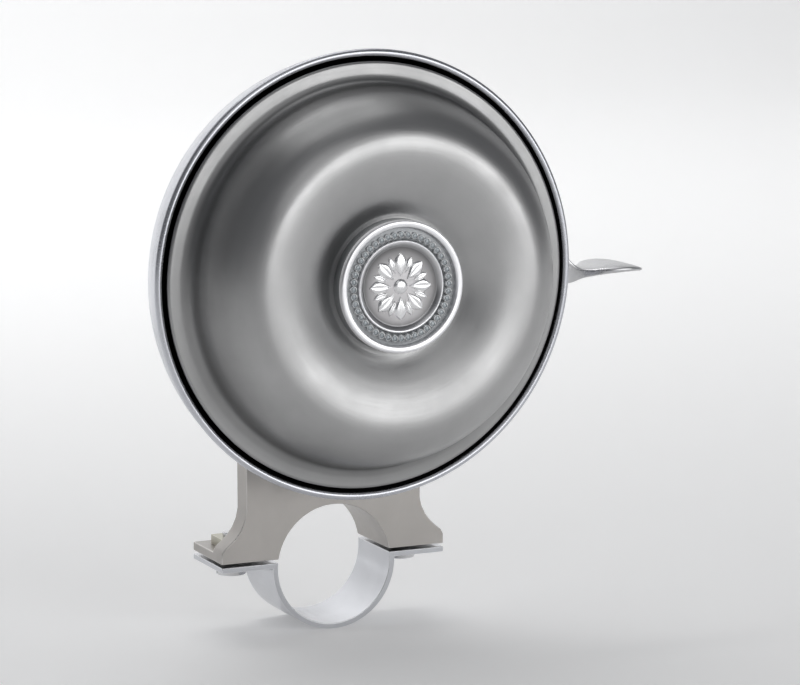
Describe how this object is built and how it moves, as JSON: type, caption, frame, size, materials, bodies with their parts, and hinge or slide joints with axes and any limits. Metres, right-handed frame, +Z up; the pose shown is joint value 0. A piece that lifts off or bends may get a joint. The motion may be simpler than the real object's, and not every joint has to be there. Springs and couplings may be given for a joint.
{
  "type": "bicycle bell",
  "caption": "Revolving handlebar bell with a domed gong, beaded medallion, thumb lever, geared rotor with loose strikers, and a split clamp.",
  "frame": {"origin": "centre of the handlebar bore, halfway along the clamp", "axes": "+Z up from the handlebar to the bell, -Y out of the gong's face, +X towards the thumb lever"},
  "size_m": [0.099, 0.0439, 0.1069],
  "materials": {
    "bracket_zinc": "satin, zinc plated",
    "strap_chrome": "bright plated",
    "screw_steel": "bright zinc",
    "nut_steel": "zinc plated",
    "shell_chrome": "satin chrome",
    "black_plate": "matt black",
    "rivet_steel": "plain",
    "shaft_steel": "turned",
    "spring_steel": "oiled",
    "lever_chrome": "satin chrome",
    "gear_brass": "machined",
    "bar_steel": "pressed",
    "striker_steel": "plain",
    "gong_satin": "satin nickel chrome",
    "washer_fibre": "matt",
    "medallion_chrome": "bright chrome"
  },
  "bodies": {
    "frame": {"handlebar_bracket": "bracket_zinc", "clamp_strap": "strap_chrome", "clamp_screws": "screw_steel", "clamp_nuts": "nut_steel", "back_shell": "shell_chrome", "mechanism_plate": "black_plate", "bracket_rivets": "rivet_steel", "centre_post": "shaft_steel", "post_screw": "screw_steel", "lever_pivot_pin": "shaft_steel", "lever_clip": "spring_steel", "idler_post": "shaft_steel", "idler_clip": "spring_steel", "spring_anchor": "rivet_steel", "return_spring": "spring_steel"},
    "lever": {"thumb_lever": "lever_chrome", "sector_gear": "gear_brass", "sector_rivets": "rivet_steel", "lever_bush": "gear_brass"},
    "idler": {"idler_sleeve": "gear_brass", "idler_pinion": "gear_brass", "gong_drive_gear": "gear_brass", "idler_wheel": "gear_brass"},
    "rotor": {"rotor_sleeve": "gear_brass", "rotor_pinion": "gear_brass", "rotor_bar": "bar_steel", "striker_pins": "shaft_steel"},
    "striker_right": {"striker_a": "striker_steel"},
    "striker_left": {"striker_b": "striker_steel"},
    "gong_unit": {"gong": "gong_satin", "gong_hub": "shaft_steel", "gong_gear": "gear_brass", "rotor_retainer": "spring_steel", "gong_washer": "washer_fibre", "gong_nut": "nut_steel", "medallion_cap": "medallion_chrome"}
  },
  "joints": [
    {"name": "lever_press", "type": "hinge", "parent": "frame", "child": "lever", "pos_m": [0.024, -0.012, 0.0528], "axis": [0, 1, 0], "range_deg": [0, 30], "stiffness_Nm_per_rad": 0.05, "springref_deg": -28.65, "deforming": ["return_spring"]},
    {"name": "idler_spin", "type": "hinge", "parent": "frame", "child": "idler", "pos_m": [0.01069, -0.014, 0.06878], "axis": [0, 1, 0], "range_deg": [-126, 0]},
    {"name": "rotor_spin", "type": "hinge", "parent": "frame", "child": "rotor", "pos_m": [0, -0.016, 0.0548], "axis": [0, 1, 0], "range_deg": [0, 336]},
    {"name": "gong_spin", "type": "hinge", "parent": "frame", "child": "gong_unit", "pos_m": [0, -0.027, 0.0548], "axis": [0, 1, 0], "range_deg": [0, 105]},
    {"name": "striker_right_swing", "type": "hinge", "parent": "rotor", "child": "striker_right", "pos_m": [0.017, -0.026, 0.0548], "axis": [0, -1, 0], "range_deg": [-60, 240]},
    {"name": "striker_left_swing", "type": "hinge", "parent": "rotor", "child": "striker_left", "pos_m": [-0.017, -0.026, 0.0548], "axis": [0, 1, 0], "range_deg": [-60, 240]}
  ],
  "couplings": [
    {"joint": "idler_spin", "follows": "lever_press", "ratio": -4.2},
    {"joint": "rotor_spin", "follows": "lever_press", "ratio": 11.2},
    {"joint": "gong_spin", "follows": "lever_press", "ratio": 3.5}
  ]
}
